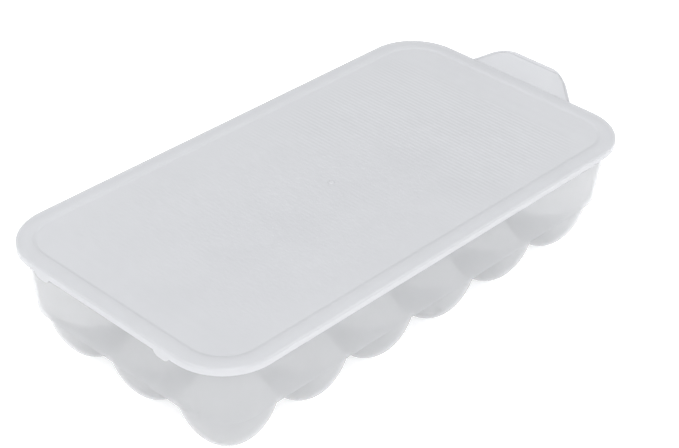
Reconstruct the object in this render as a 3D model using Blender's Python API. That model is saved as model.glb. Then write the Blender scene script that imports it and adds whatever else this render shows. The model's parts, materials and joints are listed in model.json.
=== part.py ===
"""Egg holder tray: a moulded box of eighteen cups with a press-on lid.

Two mouldings, in metres, +Z up.  The tray stands on the flat feet of its cups at z = 0.
The width runs along X and the length along Y.  The lid's pull tab points to +Y.
The origin is under the middle of the closed box, with the tab counted in.
"""
import math

import bmesh
import bpy
from mathutils import Vector

# Closed box
LENGTH = 0.3078
WIDTH = 0.1628
HEIGHT = 0.06985
CORNER_RADIUS = 0.0300
FIT_GAP = 0.0003

# Lid
LID_WALL = 0.0011
SKIRT_DEPTH = 0.0045
SKIRT_ROUND = 0.0012
RIM_WIDTH = 0.0085
PANEL_EDGE = 0.0100
PANEL_DROP = 0.0010

# Pull tab at the far end of the lid: side view from root to tip, then plan view
TAB_REACH = 0.0121
TAB_RISE = 0.0069
TAB_WALL = 0.0014
TAB_OVERLAP = 0.0015
TAB_ROOT_HALF = 0.0375
TAB_TIP_HALF = 0.0190
TAB_CORNER = 0.0060
TAB_STEPS = 8
KNEE_REACH = 0.30
KNEE_RISE = -0.10
LIFT_REACH = 0.62
LIFT_RISE = 0.85

# Two locating lugs under the skirt at the near end
LUG_WIDTH = 0.0110
LUG_DROP = 0.0022
LUG_X = 0.0420

# Tray
TRAY_WALL = 0.0012
FLANGE_INSET = 0.0015
WALL_TOP_INSET = 0.0040
WALL_FOOT_INSET = 0.0085
FOOT_CORNER_RADIUS = 0.0205
DECK_Z = 0.0322

# Cups, on a square grid of 3 by 6
COLUMNS = 3
ROWS = 6
PITCH = 0.0474
CUP_RADIUS = 0.0259
CUP_CENTRE_Z = 0.0415
CUP_FOOT_RADIUS = 0.0055
CUP_SIDES = 20
CUP_RINGS = 5

# Facets of a plan corner, and the edge angle above which shading breaks
CORNER_STEPS = 5
SHARP_EDGE = math.radians(35)

BODY_Y = -TAB_REACH / 2


def clear_scene():
    for old in list(bpy.data.objects):
        bpy.data.objects.remove(old, do_unlink=True)


def make_material(name, colour, roughness):
    material = bpy.data.materials.new(name)
    material.use_nodes = True
    shader = material.node_tree.nodes["Principled BSDF"]
    shader.inputs["Base Color"].default_value = (*colour, 1.0)
    shader.inputs["Roughness"].default_value = roughness
    shader.inputs["Metallic"].default_value = 0.0
    shader.inputs["Transmission Weight"].default_value = 0.5
    return material


def make_object(name, bm):
    bmesh.ops.recalc_face_normals(bm, faces=bm.faces)
    mesh = bpy.data.meshes.new(name)
    bm.to_mesh(mesh)
    bm.free()
    mesh.shade_smooth()
    mesh.set_sharp_from_angle(angle=SHARP_EDGE)
    obj = bpy.data.objects.new(name, mesh)
    bpy.context.scene.collection.objects.link(obj)
    return obj


def rounded_outline(inset, radius, steps=CORNER_STEPS):
    """Corner points of the closed box's plan, moved in by inset, anticlockwise from +X."""
    half_x = WIDTH / 2 - inset
    half_y = LENGTH / 2 - inset
    points = []
    for quarter in range(4):
        sign_x = 1 if quarter in (0, 3) else -1
        sign_y = 1 if quarter in (0, 1) else -1
        centre = Vector((sign_x * (half_x - radius), sign_y * (half_y - radius)))
        for step in range(steps + 1):
            angle = (quarter + step / steps) * math.pi / 2
            points.append(centre + radius * Vector((math.cos(angle), math.sin(angle))))
    return points


def loft(rings):
    """Closed solid through (inset, corner radius, z) rings, capped at both ends."""
    bm = bmesh.new()
    loops = []
    for inset, radius, z in rings:
        loop = [bm.verts.new((p.x, p.y + BODY_Y, z)) for p in rounded_outline(inset, radius)]
        loops.append(loop)
    count = len(loops[0])
    for low, high in zip(loops, loops[1:]):
        for i in range(count):
            j = (i + 1) % count
            bm.faces.new((low[i], low[j], high[j], high[i]))
    bm.faces.new(loops[0])
    bm.faces.new(loops[-1])
    return bm


def turned(profile, sides, x, y):
    """Closed solid turned about a vertical axis at (x, y) from (radius, z) points."""
    bm = bmesh.new()
    loops = []
    angles = [2 * math.pi * i / sides for i in range(sides)]
    for radius, z in profile:
        ring = [(x + radius * math.cos(a), y + radius * math.sin(a), z) for a in angles]
        loops.append([bm.verts.new(corner) for corner in ring])
    for low, high in zip(loops, loops[1:]):
        for i in range(sides):
            j = (i + 1) % sides
            bm.faces.new((low[i], low[j], high[j], high[i]))
    bm.faces.new(loops[0])
    bm.faces.new(loops[-1])
    return bm


def cup_profile(wall, top_z):
    """Half section of an egg cup: a flat foot, then an ellipse up to top_z."""
    radius = CUP_RADIUS - wall
    foot_share = CUP_FOOT_RADIUS / CUP_RADIUS
    depth = CUP_CENTRE_Z / math.sqrt(1 - foot_share ** 2) - wall
    foot_z = CUP_CENTRE_Z - depth * math.sqrt(1 - (CUP_FOOT_RADIUS / radius) ** 2)
    start = math.acos((CUP_CENTRE_Z - foot_z) / depth)
    end = math.acos((CUP_CENTRE_Z - top_z) / depth)
    points = []
    for ring in range(CUP_RINGS + 1):
        angle = start + (end - start) * ring / CUP_RINGS
        points.append((radius * math.sin(angle), CUP_CENTRE_Z - depth * math.cos(angle)))
    return points


def cup_centres():
    for column in range(COLUMNS):
        for row in range(ROWS):
            x = (column - (COLUMNS - 1) / 2) * PITCH
            y = (row - (ROWS - 1) / 2) * PITCH
            yield x, y + BODY_Y


def make_group(name, meshes):
    """Hidden tool bodies in a collection of their own."""
    group = bpy.data.collections.new(name)
    bpy.context.scene.collection.children.link(group)
    for number, bm in enumerate(meshes):
        tool = make_object(f"{name}_{number}", bm)
        bpy.context.scene.collection.objects.unlink(tool)
        group.objects.link(tool)
        tool.hide_render = True
        tool.display_type = 'WIRE'
    return group


def apply_group(obj, group, operation):
    modifier = obj.modifiers.new(group.name, 'BOOLEAN')
    modifier.operation = operation
    modifier.operand_type = 'COLLECTION'
    modifier.collection = group
    modifier.solver = 'EXACT'


def apply_tool(obj, tool, operation):
    modifier = obj.modifiers.new(tool.name, 'BOOLEAN')
    modifier.operation = operation
    modifier.object = tool
    modifier.solver = 'EXACT'


def make_tool(name, bm):
    tool = make_object(name, bm)
    tool.hide_render = True
    tool.display_type = 'WIRE'
    return tool


def make_tray():
    """The pan with its flange and deck, and the cups that hang below the deck, in one wall."""
    rim_top = HEIGHT - LID_WALL - FIT_GAP
    rim_low = rim_top - TRAY_WALL
    deck_low = DECK_Z - TRAY_WALL
    wall_radius = CORNER_RADIUS - WALL_TOP_INSET
    rings = [
        (WALL_FOOT_INSET, FOOT_CORNER_RADIUS, deck_low),
        (WALL_TOP_INSET, wall_radius, rim_low),
        (FLANGE_INSET, CORNER_RADIUS - FLANGE_INSET, rim_low),
        (FLANGE_INSET, CORNER_RADIUS - FLANGE_INSET, rim_top),
        (WALL_TOP_INSET + TRAY_WALL, wall_radius - TRAY_WALL, rim_top),
        (WALL_FOOT_INSET + TRAY_WALL, FOOT_CORNER_RADIUS - TRAY_WALL, DECK_Z),
    ]
    tray = make_object("egg_tray", loft(rings))
    cup_top = DECK_Z - TRAY_WALL / 2
    outsides = [turned(cup_profile(0, cup_top), CUP_SIDES, x, y) for x, y in cup_centres()]
    cut_top = DECK_Z + TRAY_WALL
    insides = [turned(cup_profile(TRAY_WALL, cut_top), CUP_SIDES, x, y) for x, y in cup_centres()]
    apply_group(tray, make_group("cup_outsides", outsides), 'UNION')
    apply_group(tray, make_group("cup_insides", insides), 'DIFFERENCE')
    tray.data.materials.append(make_material("tray_plastic", (0.66, 0.67, 0.68), 0.35))
    return tray


def tab_side():
    """Side view of the tab's top face as (y, z): rises steeply, then levels off at its tip."""
    root = Vector((LENGTH / 2 - TAB_OVERLAP, HEIGHT - SKIRT_DEPTH / 2))
    tip = Vector((LENGTH / 2 + TAB_REACH, HEIGHT + TAB_RISE))
    knee = Vector((LENGTH / 2 + KNEE_REACH * TAB_REACH, HEIGHT + KNEE_RISE * TAB_RISE))
    lift = Vector((LENGTH / 2 + LIFT_REACH * TAB_REACH, HEIGHT + LIFT_RISE * TAB_RISE))
    points = []
    for i in range(TAB_STEPS + 1):
        t = i / TAB_STEPS
        s = 1 - t
        points.append(s ** 3 * root + 3 * s * s * t * knee + 3 * s * t * t * lift + t ** 3 * tip)
    return points


def tab_half_width(share):
    """Half of the tab's width at a share of its length, with round tip corners."""
    flank = TAB_ROOT_HALF + (TAB_TIP_HALF - TAB_ROOT_HALF) * share
    run_out = (1 - share) * (TAB_REACH + TAB_OVERLAP)
    if run_out >= TAB_CORNER:
        return flank
    return flank - TAB_CORNER + math.sqrt(TAB_CORNER ** 2 - (TAB_CORNER - run_out) ** 2)


def make_tab():
    """The pull tab as a bent plate, its cross-section swept from root to tip."""
    bm = bmesh.new()
    points = tab_side()
    loops = []
    for i, point in enumerate(points):
        before = points[max(i - 1, 0)]
        after = points[min(i + 1, len(points) - 1)]
        along = (after - before).normalized()
        down = Vector((along.y, -along.x)) * TAB_WALL
        half = tab_half_width(i / (len(points) - 1))
        under = point + down
        corners = ((-half, point), (half, point), (half, under), (-half, under))
        loops.append([bm.verts.new((x, p.x + BODY_Y, p.y)) for x, p in corners])
    for low, high in zip(loops, loops[1:]):
        for i in range(4):
            j = (i + 1) % 4
            bm.faces.new((low[i], low[j], high[j], high[i]))
    bm.faces.new(loops[0])
    bm.faces.new(loops[-1])
    return bm


def box(low, high):
    bm = bmesh.new()
    bmesh.ops.create_cube(bm, size=1.0)
    size = Vector(high) - Vector(low)
    middle = (Vector(high) + Vector(low)) / 2
    for vert in bm.verts:
        vert.co = Vector((vert.co.x * size.x, vert.co.y * size.y, vert.co.z * size.z)) + middle
    return bm


def make_lid():
    """A rimmed cover with a sunk panel, a skirt round the flange, a pull tab and two lugs."""
    skirt_z = HEIGHT - SKIRT_DEPTH
    inner_radius = CORNER_RADIUS - LID_WALL
    under_rim = HEIGHT - LID_WALL
    rim_in = RIM_WIDTH + LID_WALL / 2
    rings = [
        (PANEL_EDGE + LID_WALL / 2, CORNER_RADIUS - PANEL_EDGE, under_rim - PANEL_DROP),
        (rim_in, CORNER_RADIUS - rim_in, under_rim),
        (LID_WALL, inner_radius, under_rim),
        (LID_WALL, inner_radius, skirt_z),
        (0, CORNER_RADIUS, skirt_z),
        (0, CORNER_RADIUS, HEIGHT - SKIRT_ROUND),
        (SKIRT_ROUND, CORNER_RADIUS - SKIRT_ROUND, HEIGHT),
        (RIM_WIDTH, CORNER_RADIUS - RIM_WIDTH, HEIGHT),
        (PANEL_EDGE, CORNER_RADIUS - PANEL_EDGE, HEIGHT - PANEL_DROP),
    ]
    lid = make_object("lid", loft(rings))
    apply_tool(lid, make_tool("tab_plate", make_tab()), 'UNION')
    near_y = BODY_Y - LENGTH / 2
    for side in (-1, 1):
        low = (side * LUG_X - LUG_WIDTH / 2, near_y, skirt_z - LUG_DROP)
        high = (side * LUG_X + LUG_WIDTH / 2, near_y + LID_WALL, skirt_z + LID_WALL)
        apply_tool(lid, make_tool(f"lug_{side}", box(low, high)), 'UNION')
    lid.data.materials.append(make_material("lid_plastic", (0.68, 0.69, 0.70), 0.30))
    return lid


clear_scene()
make_tray()
make_lid()
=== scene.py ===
# %% [markdown]
# # Egg holder tray
# A refrigerator tray for eighteen eggs: a moulded tray of round cups and a press-on lid with a
# pull tab, both in milky polypropylene.  The measured solids of both pieces are loaded first.
# They fix the size and the places.  The cells below build the fine surfaces over them, because
# a translucent moulding is known by its curves, its edges and what shows through its walls.

# %% Load the frame
import json
import math

import bmesh
import bpy
from mathutils import Matrix, Vector


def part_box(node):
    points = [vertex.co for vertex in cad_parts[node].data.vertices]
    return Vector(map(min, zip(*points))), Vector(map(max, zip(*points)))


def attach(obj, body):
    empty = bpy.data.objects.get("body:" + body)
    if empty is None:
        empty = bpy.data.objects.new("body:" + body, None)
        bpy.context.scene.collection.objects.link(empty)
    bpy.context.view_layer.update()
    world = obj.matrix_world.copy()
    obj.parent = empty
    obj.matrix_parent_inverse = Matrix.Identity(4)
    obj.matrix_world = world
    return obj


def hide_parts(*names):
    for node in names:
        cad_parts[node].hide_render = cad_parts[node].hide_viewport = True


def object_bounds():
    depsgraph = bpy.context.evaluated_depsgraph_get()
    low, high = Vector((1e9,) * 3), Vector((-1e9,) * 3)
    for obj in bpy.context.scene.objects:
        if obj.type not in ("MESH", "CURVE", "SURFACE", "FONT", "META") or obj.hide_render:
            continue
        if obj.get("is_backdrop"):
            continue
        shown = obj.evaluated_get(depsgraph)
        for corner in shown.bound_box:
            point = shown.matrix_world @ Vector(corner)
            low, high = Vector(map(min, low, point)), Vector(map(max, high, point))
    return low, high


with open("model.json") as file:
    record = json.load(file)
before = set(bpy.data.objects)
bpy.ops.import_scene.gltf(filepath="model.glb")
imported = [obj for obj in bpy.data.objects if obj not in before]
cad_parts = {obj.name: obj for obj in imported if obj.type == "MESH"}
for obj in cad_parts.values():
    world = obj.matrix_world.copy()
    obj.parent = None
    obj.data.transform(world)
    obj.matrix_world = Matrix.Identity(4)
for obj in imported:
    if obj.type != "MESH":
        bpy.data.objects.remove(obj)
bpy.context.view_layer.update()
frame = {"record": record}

# %% [markdown]
# ## Driving sizes
# The lid and the tray are concentric, so one closed box describes both: its width, length and
# height come from the solids' own boxes.  The tab sticks out at the far end only, which is why
# the middle of the box is read from the tray.  The cups' places are read from the record, where
# each cup is listed as a space that holds an egg.

# %% Read the driving sizes
MM = 0.001

lid_low, lid_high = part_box("lid")
tray_low, tray_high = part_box("egg_tray")
MIDDLE_Y = (tray_low.y + tray_high.y) / 2
WIDTH = lid_high.x - lid_low.x
LENGTH = 2 * (MIDDLE_Y - lid_low.y)
LID_WALL = 1.1 * MM
FIT_GAP = 0.3 * MM
HEIGHT = tray_high.z + FIT_GAP + LID_WALL
CORNER_RADIUS = 30.0 * MM
print("closed box, mm:", [round(1000 * side, 1) for side in (WIDTH, LENGTH, HEIGHT)])

cup_places = []
for space in frame["record"]["physics"]["openings"]:
    low, high = (Vector(corner) for corner in space["box_m"])
    cup_places.append((low + high) / 2)
COLUMN_X = sorted({round(place.x, 5) for place in cup_places})
ROW_Y = sorted({round(place.y, 5) for place in cup_places})
PITCH = COLUMN_X[1] - COLUMN_X[0]
print(len(COLUMN_X), "columns and", len(ROW_Y), "rows of cups, pitch", round(1000 * PITCH, 1), "mm")

# %% [markdown]
# ## Camera
# A catalogue view of a low box is taken with a long lens, from above one corner, so that both
# walls and the whole lid show and the far end shrinks only a little.  The camera is placed by
# the angles a photographer would read off the tripod head, plus a small roll.

# %% Place the camera
AZIMUTH = math.radians(42.523)
ELEVATION = math.radians(33.887)
ROLL = math.radians(1.798)
DISTANCE = 0.909983
LENS = 94.47
SENSOR = 36.0
AIM_RIGHT = 4.18 * MM
AIM_DOWN = 22.15 * MM


def camera_axes():
    """Unit vectors to the right of, above and behind the camera."""
    level = math.cos(ELEVATION)
    back = Vector((math.sin(AZIMUTH) * level, -math.cos(AZIMUTH) * level, math.sin(ELEVATION)))
    right = Vector((0, 0, 1)).cross(back).normalized()
    up = back.cross(right)
    tilted_right = math.cos(ROLL) * right + math.sin(ROLL) * up
    tilted_up = math.cos(ROLL) * up - math.sin(ROLL) * right
    return tilted_right, tilted_up, back


right, up, back = camera_axes()
aim = Vector((0, MIDDLE_Y, HEIGHT)) + AIM_RIGHT * right - AIM_DOWN * up
camera = bpy.data.objects.new("camera", bpy.data.cameras.new("camera"))
camera.data.lens = LENS
camera.data.sensor_width = SENSOR
turned = Matrix((right, up, back)).transposed().to_4x4()
camera.matrix_world = Matrix.Translation(aim + DISTANCE * back) @ turned
bpy.context.scene.collection.objects.link(camera)
bpy.context.scene.camera = camera
print("camera at", [round(value, 3) for value in camera.matrix_world.translation])

# %% [markdown]
# ## Floor and light
# A milky, nearly colourless object needs a pale surround and very soft light, with a few
# brighter panels that draw the lines of its edges.  A wide sheet carries the tray.  The world is
# a dome, brighter overhead than at the horizon, so that upright walls come out a little darker
# than the lid.  One softbox hangs above, two stand in front for the cups, and two more, to the
# left and at the far right, put the bright line along the lid's near edges.  Small, strong lamps
# would draw those lines more sharply, but they leave speckles in a see-through wall.

# %% Lay the floor and set the softboxes
FLOOR_SIZE = 12.0
HORIZON = 0.50
ZENITH = 0.90
ZENITH_FROM = 0.9
scene = bpy.context.scene
scene.view_settings.view_transform = 'Standard'
scene.view_settings.look = 'None'
scene.cycles.sample_clamp_indirect = 0.6
scene.cycles.caustics_reflective = False
scene.cycles.transparent_max_bounces = 32

bpy.ops.mesh.primitive_plane_add(size=FLOOR_SIZE, location=(0, 0, 0))
floor = bpy.context.active_object
floor.name = "floor"
floor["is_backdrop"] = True

world = bpy.data.worlds.new("studio")
world.use_nodes = True
sky = world.node_tree
direction = sky.nodes.new("ShaderNodeTexCoord")
height = sky.nodes.new("ShaderNodeSeparateXYZ")
dome = sky.nodes.new("ShaderNodeMapRange")
dome.inputs["From Max"].default_value = ZENITH_FROM
dome.inputs["To Min"].default_value = HORIZON
dome.inputs["To Max"].default_value = ZENITH
sky.links.new(direction.outputs["Generated"], height.inputs["Vector"])
sky.links.new(height.outputs["Z"], dome.inputs["Value"])
sky.links.new(dome.outputs["Result"], sky.nodes["Background"].inputs["Strength"])
sky.nodes["Background"].inputs["Color"].default_value = (0.985, 0.99, 1.0, 1.0)
scene.world = world


def softbox(name, azimuth, elevation, distance, size, power):
    """A rectangular lamp that faces the middle of the tray from a compass angle and a height."""
    lamp = bpy.data.lights.new(name, 'AREA')
    lamp.shape = 'RECTANGLE'
    lamp.size, lamp.size_y = size
    lamp.energy = power
    side, lift = math.radians(azimuth), math.radians(elevation)
    away = Vector((math.sin(side) * math.cos(lift), -math.cos(side) * math.cos(lift), math.sin(lift)))
    obj = bpy.data.objects.new(name, lamp)
    obj.location = Vector((0, MIDDLE_Y, HEIGHT / 2)) + distance * away
    obj.rotation_euler = away.to_track_quat('Z', 'Y').to_euler()
    scene.collection.objects.link(obj)
    return obj


softbox("overhead_panel", 20, 80, 1.6, (1.6, 1.6), 8)
softbox("right_panel", 62, 30, 1.5, (0.4, 1.2), 6.0)
softbox("front_panel", 0, 30, 1.5, (0.4, 1.0), 2.0)
softbox("left_strip", -42, 42, 1.5, (0.6, 0.6), 2.2)
softbox("far_strip", 138, 42, 1.5, (0.6, 0.6), 3.0)

# %% [markdown]
# The floor is matt card.  It is almost white, with a trace of uneven tone so that it doesn't
# look computed.  It also glows a little, like a sheet lit from below, which keeps the ground
# white under the tray.  A stronger lamp could do that, but it would bleach the lid first.

# %% Finish the floor


def new_material(name):
    """An empty material with its node tree, its shader and a helper to add nodes."""
    material = bpy.data.materials.new(name)
    material.use_nodes = True
    return material, material.node_tree, material.node_tree.nodes["Principled BSDF"]


def colour_between(tree, factor, low, high):
    """A colour that runs from low to high as the factor runs over its usual range."""
    ramp = tree.nodes.new("ShaderNodeValToRGB")
    ramp.color_ramp.elements[0].position = 0.35
    ramp.color_ramp.elements[1].position = 0.65
    ramp.color_ramp.elements[0].color = (*low, 1.0)
    ramp.color_ramp.elements[1].color = (*high, 1.0)
    tree.links.new(factor, ramp.inputs["Fac"])
    return ramp.outputs["Color"]


def noise(tree, size, detail=3.0):
    """Soft random blotches about one size across, in metres, fixed to the object."""
    place = tree.nodes.new("ShaderNodeTexCoord")
    texture = tree.nodes.new("ShaderNodeTexNoise")
    texture.inputs["Scale"].default_value = 1.0 / size
    texture.inputs["Detail"].default_value = detail
    tree.links.new(place.outputs["Object"], texture.inputs["Vector"])
    return texture.outputs["Fac"]


CARD_GLOW = 0.46
CARD_LOW = (0.93, 0.935, 0.94)
CARD_HIGH = (0.95, 0.95, 0.95)
CARD_BLOTCH = 0.4

card, card_tree, card_shader = new_material("pale_card")
card_tone = colour_between(card_tree, noise(card_tree, CARD_BLOTCH), CARD_LOW, CARD_HIGH)
card_tree.links.new(card_tone, card_shader.inputs["Base Color"])
card_shader.inputs["Roughness"].default_value = 0.9
card_shader.inputs["Emission Color"].default_value = (1.0, 1.0, 1.0, 1.0)
card_shader.inputs["Emission Strength"].default_value = CARD_GLOW
card.cycles.emission_sampling = 'NONE'
floor.data.materials.append(card)
print("floor finish:", card.name)

# %% [markdown]
# ## Milky polypropylene
# The real plastic is neither clear nor white.  Its surface is satin from the spark-eroded mould,
# and the crystals inside it scatter part of the light, so that shapes behind a wall show only as
# soft shadows.  It could be made with a scattering volume, which is slow and noisy in thin walls.
# Here each face hides a set share of what is behind it and shows the satin body for the rest, and
# a wall has two faces, so shapes fade wall by wall.  A trace of light also glows through.  The
# lid hides more than the tray.  Faint clouds vary tone and gloss, as the flow of the melt does,
# and a very shallow waviness breaks up the highlights.

# %% Mix the plastic
CLOUD = 30 * MM
SATIN_PATCH = 8 * MM
WAVE = 7 * MM
WAVE_DEPTH = 0.02 * MM
WAVE_STRENGTH = 0.04
PLASTIC_IOR = 1.58


def milky_plastic(name, thin, thick, cover, glow, gloss):
    """Translucent plastic: two tones, the share each face hides, how much it glows through, gloss."""
    material, tree, shader = new_material(name)
    tone = colour_between(tree, noise(tree, CLOUD, 4.0), thin, thick)
    tree.links.new(tone, shader.inputs["Base Color"])
    satin = tree.nodes.new("ShaderNodeMapRange")
    satin.inputs["To Min"].default_value, satin.inputs["To Max"].default_value = gloss
    tree.links.new(noise(tree, SATIN_PATCH), satin.inputs["Value"])
    tree.links.new(satin.outputs["Result"], shader.inputs["Roughness"])
    waves = tree.nodes.new("ShaderNodeBump")
    waves.inputs["Strength"].default_value = WAVE_STRENGTH
    waves.inputs["Distance"].default_value = WAVE_DEPTH
    tree.links.new(noise(tree, WAVE, 1.0), waves.inputs["Height"])
    tree.links.new(waves.outputs["Normal"], shader.inputs["Normal"])
    shader.inputs["IOR"].default_value = PLASTIC_IOR
    through = tree.nodes.new("ShaderNodeBsdfTranslucent")
    tree.links.new(tone, through.inputs["Color"])
    body = tree.nodes.new("ShaderNodeMixShader")
    body.inputs["Fac"].default_value = glow
    tree.links.new(shader.outputs["BSDF"], body.inputs[1])
    tree.links.new(through.outputs["BSDF"], body.inputs[2])
    clear = tree.nodes.new("ShaderNodeBsdfTransparent")
    whole = tree.nodes.new("ShaderNodeMixShader")
    whole.inputs["Fac"].default_value = cover
    tree.links.new(clear.outputs["BSDF"], whole.inputs[1])
    tree.links.new(body.outputs["Shader"], whole.inputs[2])
    tree.links.new(whole.outputs["Shader"], tree.nodes["Material Output"].inputs["Surface"])
    return material


GLOW = 0.02
TRAY_TONES = ((0.54, 0.547, 0.56), (0.555, 0.562, 0.575))
TRAY_COVER = 0.38
TRAY_GLOSS = (0.29, 0.34)
LID_TONES = ((0.585, 0.592, 0.612), (0.595, 0.602, 0.622))
LID_COVER = 0.80
LID_GLOSS = (0.27, 0.33)

tray_plastic = milky_plastic("tray_plastic", *TRAY_TONES, TRAY_COVER, GLOW, TRAY_GLOSS)
lid_plastic = milky_plastic("lid_plastic", *LID_TONES, LID_COVER, GLOW, LID_GLOSS)
print("plastics:", tray_plastic.name, "and", lid_plastic.name)

# %% [markdown]
# ## One way to draw every outline
# The lid, the flange, the wall and the deck are all rounded rectangles about the same middle.
# A rounded rectangle is a smaller plain rectangle, the core, with a radius all round it.  So a
# point of any outline is kept as a place on the core and a direction, and the same point of the
# next outline up the wall is found by changing the core and the radius only.  Rings made this
# way always have matching points, and every wall is clean four-sided mesh.

# %% Helpers for outlines and meshes
WELD = 0.5e-6
SHARP = math.radians(32)


def split_outline(x, y, half_x, half_y, radius):
    """A point of a rounded rectangle as its place on the core, from -1 to 1, and its direction."""
    core_x, core_y = half_x - radius, half_y - radius
    near_x = max(-core_x, min(core_x, x))
    near_y = max(-core_y, min(core_y, y))
    direction = Vector((x - near_x, y - near_y)).normalized()
    return near_x / core_x, near_y / core_y, direction


def outline_point(split, inset, radius):
    """The matching point on the closed box's outline, moved in by inset and rounded to radius."""
    share_x, share_y, direction = split
    x = share_x * (WIDTH / 2 - inset - radius) + radius * direction.x
    y = share_y * (LENGTH / 2 - inset - radius) + radius * direction.y
    return x, y


def build_mesh(name, points, faces):
    """An object from loose quads: points in the same place are welded and the faces turned out."""
    mesh = bpy.data.meshes.new(name)
    mesh.from_pydata([(x, y + MIDDLE_Y, z) for x, y, z in points], [], faces)
    bm = bmesh.new()
    bm.from_mesh(mesh)
    bmesh.ops.remove_doubles(bm, verts=bm.verts, dist=WELD)
    bmesh.ops.recalc_face_normals(bm, faces=bm.faces)
    bm.to_mesh(mesh)
    open_edges = sum(1 for edge in bm.edges if not edge.is_manifold)
    bm.free()
    mesh.shade_smooth()
    mesh.set_sharp_from_angle(angle=SHARP)
    obj = bpy.data.objects.new(name, mesh)
    scene.collection.objects.link(obj)
    print(name, "faces:", len(mesh.polygons), "open edges:", open_edges)
    return obj


print("weld distance, mm:", WELD / MM)

# %% [markdown]
# ## The tray's cups and deck
# Each cup is a bowl shaped like the blunt half of an egg, on a small flat foot.  The bowls are a
# little wider than their spacing, so neighbours run into each other and the ridge between them
# dips below the deck.  Cutting eighteen bowls out of a plate with Booleans would leave ragged
# triangles, which show in a see-through wall.  So the deck is divided into eighteen cells, and
# spokes run from each cup's middle to the edge of its cell: down at the foot, up the bowl, over
# a small rounded lip and across the deck.  Neighbouring cells share their edge points.

# %% Sizes of the tray
TRAY_WALL = 1.2 * MM
DECK_TOP = 32.2 * MM
FLANGE_INSET = 1.5 * MM
WALL_TOP_INSET = 4.0 * MM
WALL_FOOT_INSET = 8.5 * MM
FOOT_CORNER = 20.5 * MM
CUP_RADIUS = 25.9 * MM
CUP_CENTRE_Z = 41.5 * MM
CUP_FOOT = 5.5 * MM
LIP_WIDTH = 1.5 * MM
LIP_RISE = 0.8 * MM

SIDE_STEPS = 22
ARC_STEPS = 16
BOWL_STEPS = 20
FOOT_STEPS = 2
LIP_STEPS = 6
DECK_STEPS = 2


def cell_outline(column, row, half_x, half_y, radius):
    """Points round one cup's cell: half-way lines to its neighbours, the wall's foot elsewhere."""
    x, y = COLUMN_X[column], ROW_Y[row] - MIDDLE_Y
    low_x = -half_x if column == 0 else x - PITCH / 2
    high_x = half_x if column == len(COLUMN_X) - 1 else x + PITCH / 2
    low_y = -half_y if row == 0 else y - PITCH / 2
    high_y = half_y if row == len(ROW_Y) - 1 else y + PITCH / 2
    corners = [(high_x, high_y), (low_x, high_y), (low_x, low_y), (high_x, low_y)]
    runs = []
    for number, (corner_x, corner_y) in enumerate(corners):
        if abs(corner_x) == half_x and abs(corner_y) == half_y:
            core_x = math.copysign(half_x - radius, corner_x)
            core_y = math.copysign(half_y - radius, corner_y)
            centre = Vector((core_x, core_y))
            arc = []
            for step in range(ARC_STEPS + 1):
                angle = (number + step / ARC_STEPS) * math.pi / 2
                arc.append(centre + radius * Vector((math.cos(angle), math.sin(angle))))
            runs.append(arc)
        else:
            runs.append([Vector((corner_x, corner_y))])
    points = []
    for run, following in zip(runs, runs[1:] + runs[:1]):
        points += run
        start, end = run[-1], following[0]
        points += [start.lerp(end, step / SIDE_STEPS) for step in range(1, SIDE_STEPS)]
    return points


def bowl_height(distance, wall):
    """Height of the bowl's surface at a distance from its axis, inside for a wall above zero."""
    radius = CUP_RADIUS - wall
    depth = (CUP_CENTRE_Z - wall) / math.sqrt(1 - (CUP_FOOT / radius) ** 2)
    flat = max(distance, CUP_FOOT)
    return CUP_CENTRE_Z - depth * math.sqrt(max(0.0, 1 - (flat / radius) ** 2))


def bowl_edge(wall):
    """Distance from the axis at which the bowl's surface meets its side of the deck."""
    radius = CUP_RADIUS - wall
    depth = (CUP_CENTRE_Z - wall) / math.sqrt(1 - (CUP_FOOT / radius) ** 2)
    drop = CUP_CENTRE_Z - (DECK_TOP - TRAY_WALL + wall)
    return radius * math.sqrt(1 - (drop / depth) ** 2)


def spoke(reach, wall):
    """(distance, height) pairs from the cup's axis out to reach, over the lip and the deck."""
    radius = CUP_RADIUS - wall
    edge = min(bowl_edge(wall), reach)
    deck = DECK_TOP - TRAY_WALL + wall
    pairs = [(CUP_FOOT * step / FOOT_STEPS, bowl_height(0, wall)) for step in range(1, FOOT_STEPS)]
    start, end = math.asin(CUP_FOOT / radius), math.asin(edge / radius)
    for step in range(BOWL_STEPS + 1):
        distance = radius * math.sin(start + (end - start) * step / BOWL_STEPS)
        pairs.append((distance, bowl_height(distance, wall)))
    room = reach - edge
    lip = min(LIP_WIDTH, room / 2)
    rise = LIP_RISE * lip / LIP_WIDTH if wall > 0 else 0.0
    for step in range(1, LIP_STEPS + 1):
        turn = math.pi * step / LIP_STEPS
        pairs.append((edge + lip * (1 - math.cos(turn)) / 2, deck + rise * math.sin(turn)))
    for step in range(1, DECK_STEPS + 1):
        pairs.append((edge + lip + (room - lip) * step / DECK_STEPS, deck))
    if room <= 0:
        pairs[BOWL_STEPS + FOOT_STEPS:] = [(reach, bowl_height(reach, wall))] * (LIP_STEPS + DECK_STEPS)
    return pairs


print("cup opening, mm:", round(2000 * bowl_edge(TRAY_WALL), 1))

# %% [markdown]
# ## The tray's wall and flange
# The wall leans outward, so that trays nest and leave the mould, and ends in a narrow flange
# that carries the lid.  It rises from the deck's outer edge, which the cells have already drawn,
# in rings of one outline each.  The inside and the outside are drawn as two skins, and they meet
# in the rounded edge of the flange.

# %% Build the tray
RIM_TOP = tray_high.z
RIM_LOW = RIM_TOP - TRAY_WALL
WALL_TOP_CORNER = CORNER_RADIUS - WALL_TOP_INSET
FILLET = 0.9 * MM
EDGE_ROUND = 0.4 * MM
WALL_RINGS = 8
FILLET_STEPS = 4


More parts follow.
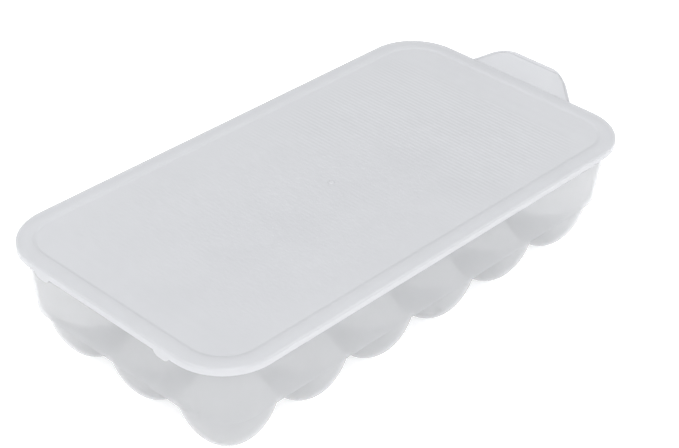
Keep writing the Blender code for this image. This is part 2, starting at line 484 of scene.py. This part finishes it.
def wall_rings(wall):
    """(inset, corner radius, height) rings of one skin, from above the deck to the flange's edge."""
    deck = DECK_TOP - TRAY_WALL + wall
    rim = RIM_LOW + wall
    rings = []
    top = rim - FILLET
    for step in range(1, WALL_RINGS + 1):
        share = step / WALL_RINGS * (top - deck) / (rim - deck)
        inset = WALL_FOOT_INSET + (WALL_TOP_INSET - WALL_FOOT_INSET) * share + wall
        corner = FOOT_CORNER + (WALL_TOP_CORNER - FOOT_CORNER) * share - wall
        rings.append((inset, corner, deck + share * (rim - deck)))
    last_inset, last_corner, last_z = rings[-1]
    for step in range(1, FILLET_STEPS + 1):
        turn = math.pi / 2 * step / FILLET_STEPS
        out = FILLET * (1 - math.cos(turn))
        rings.append((last_inset - out, last_corner + out, last_z + FILLET * math.sin(turn)))
    middle = (RIM_TOP + RIM_LOW) / 2
    side = 1 if wall > 0 else -1
    for step in range(FILLET_STEPS + 1):
        turn = math.pi / 2 * step / FILLET_STEPS
        inset = FLANGE_INSET + EDGE_ROUND * (1 - math.sin(turn))
        height = rim - side * EDGE_ROUND * (1 - math.cos(turn))
        rings.append((inset, CORNER_RADIUS - inset, height))
    rings.append((FLANGE_INSET, CORNER_RADIUS - FLANGE_INSET, middle))
    return rings


def tray_skin(wall, points, faces):
    """Adds one side of the tray: every cell, then the wall from the cells' outer edge."""
    half_x, half_y = WIDTH / 2 - WALL_FOOT_INSET - wall, LENGTH / 2 - WALL_FOOT_INSET - wall
    corner = FOOT_CORNER - wall
    rings = wall_rings(wall)
    for column, x in enumerate(COLUMN_X):
        for row, cup_y in enumerate(ROW_Y):
            y = cup_y - MIDDLE_Y
            outline = cell_outline(column, row, half_x, half_y, corner)
            centre = len(points)
            points.append((x, y, bowl_height(0, wall)))
            starts = []
            for edge_point in outline:
                starts.append(len(points))
                away = edge_point - Vector((x, y))
                reach = away.length
                away.normalize()
                pairs = spoke(reach, wall)
                points += [(x + away.x * r, y + away.y * r, z) for r, z in pairs[:-1]]
                points.append((edge_point.x, edge_point.y, pairs[-1][1]))
            count = len(pairs)
            for here, there in zip(starts, starts[1:] + starts[:1]):
                faces.append((centre, here, there))
                faces += [(here + k, here + k + 1, there + k + 1, there + k) for k in range(count - 1)]
            for start, end in zip(outline, outline[1:] + outline[:1]):
                if not all(on_foot_line(foot, half_x, half_y, corner) for foot in (start, end)):
                    continue
                columns = []
                for foot in (start, end):
                    split = split_outline(foot.x, foot.y, half_x, half_y, corner)
                    up = [(foot.x, foot.y, foot_height(foot, x, y, wall))]
                    up += [(*outline_point(split, inset, radius), z) for inset, radius, z in rings]
                    columns.append(up)
                first = len(points)
                points += columns[0] + columns[1]
                size = len(columns[0])
                for k in range(first, first + size - 1):
                    faces.append((k, k + 1, size + k + 1, size + k))


def foot_height(foot, x, y, wall):
    """Height of the deck or bowl where a cell meets the foot of the wall."""
    return spoke((foot - Vector((x, y))).length, wall)[-1][1]


def on_foot_line(point, half_x, half_y, radius):
    """True for a point on the rounded rectangle where the wall stands on the deck."""
    split = split_outline(point.x, point.y, half_x, half_y, radius)
    core = Vector((split[0] * (half_x - radius), split[1] * (half_y - radius)))
    return abs((point - core).length - radius) < WELD


tray_points, tray_faces = [], []
for side_wall in (TRAY_WALL, 0.0):
    tray_skin(side_wall, tray_points, tray_faces)
tray = build_mesh("tray_moulding", tray_points, tray_faces)
tray.data.materials.append(tray_plastic)
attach(tray, "tray")
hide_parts("egg_tray")

# %% [markdown]
# ## The lid's panel and rim
# The lid is one thin plate: a large panel that lies slightly lower than the rim round it, a
# softly domed rim, a tight outer curve and a short skirt.  Fine ribs run across the panel, each
# lower than a sheet of paper.  They could be a bump in the material, but then they would be
# missing from the mesh, so the panel is drawn in rows along the ribs, four rows to each.  The
# ends of the rows make the panel's outline, and the section of the rim is swept round it.

# %% Sizes of the lid
SKIRT_DEPTH = 4.5 * MM
RIM_WIDTH = 7.5 * MM
PANEL_EDGE = 10.5 * MM
PANEL_DROP = 1.0 * MM
PANEL_INSET = PANEL_EDGE + LID_WALL
RIM_DOME = 0.25 * MM
OUTER_ROUND = 1.5 * MM
LIP_ROUND = 0.3 * MM
RIB_PITCH = 2.6 * MM
RIB_RISE = 0.05 * MM
RIB_ROWS = 4
RIB_FADE = 6.0 * MM
PANEL_COLUMNS = 26
CORNER_ROWS = 14


def panel_rows():
    """The y of each row of the panel: along the ribs, and closer where the corners turn."""
    half = LENGTH / 2 - PANEL_INSET
    radius = CORNER_RADIUS - PANEL_INSET
    step = RIB_PITCH / RIB_ROWS
    rows = {round(i * step, 7) for i in range(int((half - radius) / step))}
    for i in range(CORNER_ROWS + 1):
        rows.add(round(half - radius + radius * math.sin(math.pi / 2 * i / CORNER_ROWS), 7))
    return sorted({-row for row in rows} | rows)


def panel_reach(y):
    """Half of the panel's width at a row."""
    half_x, half_y = WIDTH / 2 - PANEL_INSET, LENGTH / 2 - PANEL_INSET
    radius = CORNER_RADIUS - PANEL_INSET
    into_corner = max(0.0, abs(y) - (half_y - radius))
    return half_x - radius + math.sqrt(max(0.0, radius ** 2 - into_corner ** 2))


def rib_height(x, y):
    """Height of the ribs' wave above the panel, faded out towards the rim."""
    half_y = LENGTH / 2 - PANEL_INSET
    room = min(panel_reach(y) - abs(x), half_y - abs(y)) / RIB_FADE
    fade = max(0.0, min(1.0, room - 0.5))
    return RIB_RISE * fade * math.cos(2 * math.pi * y / RIB_PITCH)


def lid_section():
    """(inset, height) pairs of the lid's section: panel edge, rim, skirt, and back underneath."""
    top = HEIGHT
    pairs = []
    steps = 8
    for i in range(steps + 1):
        share = i / steps
        ease = share * share * (3 - 2 * share)
        inset = PANEL_EDGE + (RIM_WIDTH - PANEL_EDGE) * share
        pairs.append((inset, top - PANEL_DROP + (PANEL_DROP - RIM_DOME) * ease))
    crown_in, crown_out = RIM_WIDTH, OUTER_ROUND
    for i in range(1, steps):
        share = i / steps
        dome = 4 * share * (1 - share)
        pairs.append((crown_in + (crown_out - crown_in) * share, top - RIM_DOME * (1 - dome)))
    for i in range(steps + 1):
        turn = math.pi / 2 * i / steps
        inset = OUTER_ROUND * (1 - math.sin(turn))
        pairs.append((inset, top - RIM_DOME - (OUTER_ROUND - RIM_DOME) * (1 - math.cos(turn))))
    low = top - SKIRT_DEPTH
    middle = LID_WALL / 2
    for i in range(steps + 1):
        turn = math.pi * i / steps
        pairs.append((middle * (1 - math.cos(turn)), low + LIP_ROUND * (1 - math.sin(turn))))
    under = top - LID_WALL - RIM_DOME
    for i in range(steps + 1):
        turn = math.pi / 2 * i / steps
        pairs.append((LID_WALL + FILLET * (1 - math.cos(turn)), under - FILLET * (1 - math.sin(turn))))
    step_in = LID_WALL / 2
    pairs.append((RIM_WIDTH + step_in, under))
    pairs.append((PANEL_EDGE + step_in, top - PANEL_DROP - LID_WALL))
    return pairs


print("ribs on the panel:", int((LENGTH - 2 * PANEL_EDGE) / RIB_PITCH))

# %% Build the lid's plate


def lid_plate(points, faces):
    """Adds the ribbed panel, its flat underside and the section swept round it."""
    rows = panel_rows()
    for z, ribbed in ((HEIGHT - PANEL_DROP, True), (HEIGHT - PANEL_DROP - LID_WALL, False)):
        first = len(points)
        for y in rows:
            reach = panel_reach(y)
            for column in range(PANEL_COLUMNS + 1):
                x = reach * (2 * column / PANEL_COLUMNS - 1)
                points.append((x, y, z + (rib_height(x, y) if ribbed else 0.0)))
        width = PANEL_COLUMNS + 1
        for row in range(len(rows) - 1):
            for column in range(PANEL_COLUMNS):
                a = first + row * width + column
                faces.append((a, a + 1, a + width + 1, a + width))
    near, far = rows[0], rows[-1]
    across = [2 * column / PANEL_COLUMNS - 1 for column in range(PANEL_COLUMNS + 1)]
    loop = [(panel_reach(near) * share, near) for share in across]
    loop += [(panel_reach(y), y) for y in rows[1:-1]]
    loop += [(-panel_reach(far) * share, far) for share in across]
    loop += [(-panel_reach(y), y) for y in reversed(rows[1:-1])]
    section = [(PANEL_INSET, HEIGHT - PANEL_DROP)] + lid_section()
    section.append((PANEL_INSET, HEIGHT - PANEL_DROP - LID_WALL))
    half_x, half_y = WIDTH / 2 - PANEL_INSET, LENGTH / 2 - PANEL_INSET
    first = len(points)
    for x, y in loop:
        split = split_outline(x, y, half_x, half_y, CORNER_RADIUS - PANEL_INSET)
        points.append((x, y, section[0][1]))
        points += [(*outline_point(split, inset, CORNER_RADIUS - inset), z) for inset, z in section[1:-1]]
        points.append((x, y, section[-1][1]))
    size = len(section)
    for i in range(len(loop)):
        here, there = first + i * size, first + (i + 1) % len(loop) * size
        faces += [(here + k, here + k + 1, there + k + 1, there + k) for k in range(size - 1)]


lid_points, lid_faces = [], []
lid_plate(lid_points, lid_faces)
lid = build_mesh("lid_moulding", lid_points, lid_faces)

# %% [markdown]
# ## The pull tab, the lugs and the gate mark
# The lid is opened by a tab that grows out of the far end of its skirt.  It dips, sweeps up and
# levels off, and a bead runs round its edge for the fingertips.  Two lugs under the near skirt
# find their place on the tray.  The small raised disc in the middle of the panel is the mark of
# the gate, where the plastic entered the mould.  These are drawn as closed bodies that reach into
# the plate, and a Boolean joins them, because they cross it at odd angles.

# %% Build the tab
TAB_WALL = 1.4 * MM
TAB_OVERLAP = 1.5 * MM
TAB_ROOT_HALF = 37.5 * MM
TAB_TIP_HALF = 19.0 * MM
TAB_CORNER = 6.0 * MM
BEAD_WIDTH = 1.9 * MM
BEAD_RISE = 0.7 * MM
TIP_LEAN = 0.5 * MM
TAB_REACH = lid_high.y - MIDDLE_Y - LENGTH / 2 - TIP_LEAN
TAB_RISE = lid_high.z - HEIGHT
KNEE_REACH = 0.30
KNEE_RISE = -0.10
LIFT_REACH = 0.62
LIFT_RISE = 0.85
TAB_ROWS = 44
TAB_COLUMNS = 64


def tab_line(share):
    """(y, z) of the tab's top along its middle: a smooth curve from inside the skirt to its tip."""
    root = Vector((LENGTH / 2 - TAB_OVERLAP, HEIGHT - SKIRT_DEPTH / 2))
    knee = Vector((LENGTH / 2 + KNEE_REACH * TAB_REACH, HEIGHT + KNEE_RISE * TAB_RISE))
    lift = Vector((LENGTH / 2 + LIFT_REACH * TAB_REACH, HEIGHT + LIFT_RISE * TAB_RISE))
    tip = Vector((LENGTH / 2 + TAB_REACH, HEIGHT + TAB_RISE))
    rest = 1 - share
    ends = rest ** 3 * root + share ** 3 * tip
    return ends + 3 * rest * rest * share * knee + 3 * rest * share * share * lift


def tab_half_width(share):
    """Half of the tab's width at a share of its length, with round tip corners."""
    flank = TAB_ROOT_HALF + (TAB_TIP_HALF - TAB_ROOT_HALF) * share
    run_out = (1 - share) * (TAB_REACH + TAB_OVERLAP)
    if run_out >= TAB_CORNER:
        return flank
    return flank - TAB_CORNER + math.sqrt(max(0.0, TAB_CORNER ** 2 - (TAB_CORNER - run_out) ** 2))


def bead_height(to_edge):
    """Height of the rounded bead at a distance from the tab's edge."""
    if to_edge >= BEAD_WIDTH:
        return 0.0
    if to_edge <= 0:
        return BEAD_RISE
    return BEAD_RISE * math.sin(math.pi * (0.5 + 0.5 * to_edge / BEAD_WIDTH)) ** 0.5


def build_tab():
    """The tab as a closed bent plate: a grid above, the same grid below, and a rim between."""
    points, faces = [], []
    shares = [1 - (1 - i / TAB_ROWS) ** 1.6 for i in range(TAB_ROWS + 1)]
    for under in (False, True):
        for share in shares:
            here = tab_line(share)
            along = (tab_line(min(1, share + 0.01)) - tab_line(max(0, share - 0.01))).normalized()
            down = Vector((along.y, -along.x))
            half = tab_half_width(share)
            for column in range(TAB_COLUMNS + 1):
                across = math.sin(math.pi / 2 * (2 * column / TAB_COLUMNS - 1))
                to_edge = min((1 - abs(across)) * half, (1 - share) * (TAB_REACH + TAB_OVERLAP))
                drop = TAB_WALL if under else BEAD_RISE - bead_height(to_edge)
                place = here + down * drop
                points.append((across * half, place.x, place.y))
    width, size = TAB_COLUMNS + 1, (TAB_ROWS + 1) * (TAB_COLUMNS + 1)
    for row in range(TAB_ROWS):
        for column in range(TAB_COLUMNS):
            a = row * width + column
            faces.append((a, a + 1, a + width + 1, a + width))
            faces.append((size + a, size + a + width, size + a + width + 1, size + a + 1))
    border = list(range(TAB_COLUMNS + 1))
    border += [(row + 1) * width - 1 for row in range(1, TAB_ROWS)]
    border += [TAB_ROWS * width + column for column in reversed(range(TAB_COLUMNS + 1))]
    border += [row * width for row in reversed(range(1, TAB_ROWS))]
    for here, there in zip(border, border[1:] + border[:1]):
        faces.append((here, there, size + there, size + here))
    return build_mesh("pull_tab", points, faces)


pull_tab = build_tab()

# %% Build the lugs and the gate mark
LUG_WIDTH = 12.0 * MM
LUG_FOOT = 7.0 * MM
LUG_DROP = 2.2 * MM
LUG_X = 42.0 * MM
LUG_ROUND = 0.9 * MM
GATE_RADIUS = 1.8 * MM
GATE_RISE = 0.45 * MM


def turned_body(name, profile, steps, x, y):
    """A closed body turned about a vertical axis from (radius, height) pairs."""
    points = [(x, y, profile[0][1])]
    for radius, z in profile:
        for i in range(steps):
            turn = 2 * math.pi * i / steps
            points.append((x + radius * math.cos(turn), y + radius * math.sin(turn), z))
    points.append((x, y, profile[-1][1]))
    last = len(points) - 1
    faces = []
    for i in range(steps):
        j = (i + 1) % steps
        faces.append((0, 1 + j, 1 + i))
        for k in range(len(profile) - 1):
            a = 1 + k * steps
            faces.append((a + i, a + j, a + steps + j, a + steps + i))
        a = 1 + (len(profile) - 1) * steps
        faces.append((a + i, a + j, last))
    return build_mesh(name, points, faces)


def lug_body(name, x):
    """A lug: a rounded tongue that hangs from the near skirt, flush with its outer face."""
    bm = bmesh.new()
    bmesh.ops.create_cube(bm, size=1.0)
    near = -LENGTH / 2 + MIDDLE_Y
    tall = LUG_DROP + LID_WALL
    for vert in bm.verts:
        vert.co.x = x + vert.co.x * (LUG_WIDTH if vert.co.z > 0 else LUG_FOOT)
        vert.co.y = near + LID_WALL * (vert.co.y + 0.5)
        vert.co.z = HEIGHT - SKIRT_DEPTH - LUG_DROP + tall * (vert.co.z + 0.5)
    lower = HEIGHT - SKIRT_DEPTH - LUG_DROP + WELD
    ends = []
    for edge in bm.edges:
        one, other = edge.verts
        if max(one.co.z, other.co.z) < lower and abs(one.co.x - other.co.x) < WELD:
            ends.append(edge)
    bmesh.ops.bevel(bm, geom=ends, offset=LUG_ROUND * 2, segments=6, affect='EDGES', profile=0.5)
    mesh = bpy.data.meshes.new(name)
    bmesh.ops.recalc_face_normals(bm, faces=bm.faces)
    bm.to_mesh(mesh)
    bm.free()
    obj = bpy.data.objects.new(name, mesh)
    scene.collection.objects.link(obj)
    return obj


panel_top = HEIGHT - PANEL_DROP
dome = [(GATE_RADIUS, panel_top - LID_WALL / 2)]
for i in range(6):
    lean = math.pi / 2 * i / 6
    dome.append((GATE_RADIUS * math.cos(lean), panel_top + GATE_RISE * math.sin(lean)))
gate_mark = turned_body("gate_mark", dome, 32, 0.0, 0.0)
lugs = [lug_body(f"lug_{name}", x) for name, x in (("left", -LUG_X), ("right", LUG_X))]
print("lugs and gate mark:", [piece.name for piece in lugs + [gate_mark]])

# %% Join them to the lid


def join_body(target, body):
    """Makes body one solid with target and removes what is left of it."""
    modifier = target.modifiers.new(body.name, 'BOOLEAN')
    modifier.operation = 'UNION'
    modifier.solver = 'EXACT'
    modifier.object = body
    evaluated = target.evaluated_get(bpy.context.evaluated_depsgraph_get())
    joined = bpy.data.meshes.new_from_object(evaluated)
    target.modifiers.clear()
    target.data = joined
    bpy.data.objects.remove(body)


for body in [pull_tab, gate_mark] + lugs:
    join_body(lid, body)
lid.data.shade_smooth()
lid.data.set_sharp_from_angle(angle=SHARP)
lid.data.materials.clear()
lid.data.materials.append(lid_plastic)
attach(lid, "lid")
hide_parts("lid")
print("lid faces:", len(lid.data.polygons))

# %% [markdown]
# ## Measure and finish
# The fine model has to keep the size of the solids, so its box is printed.

# %% Write the sizes
low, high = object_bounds()
print("visual box, mm:", [round(1000 * value, 2) for value in (*low, *high)])
